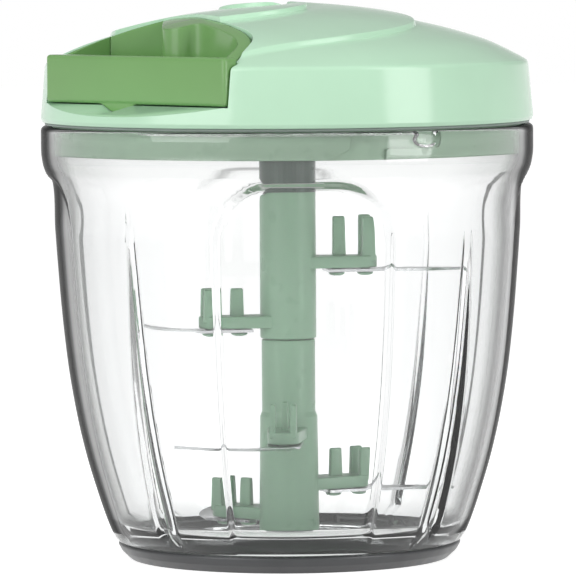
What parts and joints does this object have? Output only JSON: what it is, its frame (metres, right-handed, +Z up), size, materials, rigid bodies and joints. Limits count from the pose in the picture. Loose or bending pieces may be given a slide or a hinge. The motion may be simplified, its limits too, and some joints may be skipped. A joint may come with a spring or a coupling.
{
  "type": "manual pull cord food chopper",
  "caption": "Hand food chopper: clear bowl on a non-slip ring, twist-lock domed lid with a pull handle, and a stack of sickle blades spun by the cord.",
  "frame": {"origin": "centre of the bowl's axis, on the plane that it stands on", "axes": "+Z up along the bowl's axis; the handle pulls out along -Y; +X to the handle's right as seen from the front"},
  "size_m": [0.1249, 0.1249, 0.1408],
  "materials": {
    "clear_plastic": "clear, polished",
    "grey_rubber": "matt, soft",
    "steel": "bright",
    "dark_plastic": "fine matt",
    "sage_plastic": "satin",
    "mint_plastic": "glossy",
    "green_plastic": "glossy",
    "silicone": "matt",
    "white_nylon": "fine matt",
    "white_cord": "braided"
  },
  "bodies": {
    "bowl_body": {"bowl": "clear_plastic", "base_ring": "grey_rubber", "centre_pin": "steel"},
    "lid": {"top_cover": "mint_plastic", "lid_base": "sage_plastic", "seal_ring": "silicone", "cover_screw_1": "steel", "cover_screw_2": "steel", "cover_screw_3": "steel", "arbor": "steel", "cord_eyelet": "white_nylon", "mainspring": "steel"},
    "handle": {"pull_handle": "green_plastic", "cord_knot": "white_cord"},
    "spool_body": {"spool": "white_nylon", "spool_cap": "white_nylon", "pull_cord": "white_cord"},
    "pawl_a": {"pawl_1": "white_nylon"},
    "pawl_b": {"pawl_2": "white_nylon"},
    "hub": {"drive_hub": "dark_plastic", "hub_washer": "white_nylon"},
    "column": {"lower_column": "sage_plastic", "upper_column": "sage_plastic", "foot_bush": "dark_plastic", "blade_1": "steel", "blade_2": "steel", "blade_3": "steel", "blade_4": "steel", "blade_5": "steel"}
  },
  "joints": [
    {"name": "lid_twist", "type": "hinge", "parent": "bowl_body", "child": "lid", "pos_m": [0, 0, 0.11], "axis": [0, 0, 1], "range_deg": [0, 15]},
    {"name": "handle_pull", "type": "slide", "parent": "lid", "child": "handle", "axis": [0, -1, 0], "range_m": [0, 0.36], "stiffness_N_per_m": 15, "springref_m": -0.3, "deforming": ["pull_cord"]},
    {"name": "spool_spin", "type": "hinge", "parent": "lid", "child": "spool_body", "pos_m": [0, 0, 0.125], "axis": [0, 0, 1], "range_deg": [0, 1290], "deforming": ["mainspring"]},
    {"name": "hub_spin", "type": "hinge", "parent": "lid", "child": "hub", "pos_m": [0, 0, 0.115], "axis": [0, 0, 1], "range_deg": [0, 1290]},
    {"name": "blade_spin", "type": "hinge", "parent": "lid", "child": "column", "pos_m": [0, 0, 0.05], "axis": [0, 0, 1], "range_deg": [0, 1290]},
    {"name": "pawl_1_swing", "type": "hinge", "parent": "spool_body", "child": "pawl_a", "pos_m": [0.006, 0, 0.1173], "axis": [0, 0, 1], "range_deg": [0, 13], "stiffness_Nm_per_rad": 0.0001, "springref_deg": -11.46},
    {"name": "pawl_2_swing", "type": "hinge", "parent": "spool_body", "child": "pawl_b", "pos_m": [-0.006, 0, 0.1173], "axis": [0, 0, 1], "range_deg": [0, 13], "stiffness_Nm_per_rad": 0.0001, "springref_deg": -11.46}
  ],
  "couplings": [
    {"joint": "spool_spin", "follows": "handle_pull", "rad_per_m": 62.5},
    {"joint": "hub_spin", "follows": "handle_pull", "rad_per_m": 62.5},
    {"joint": "blade_spin", "follows": "handle_pull", "rad_per_m": 62.5}
  ]
}
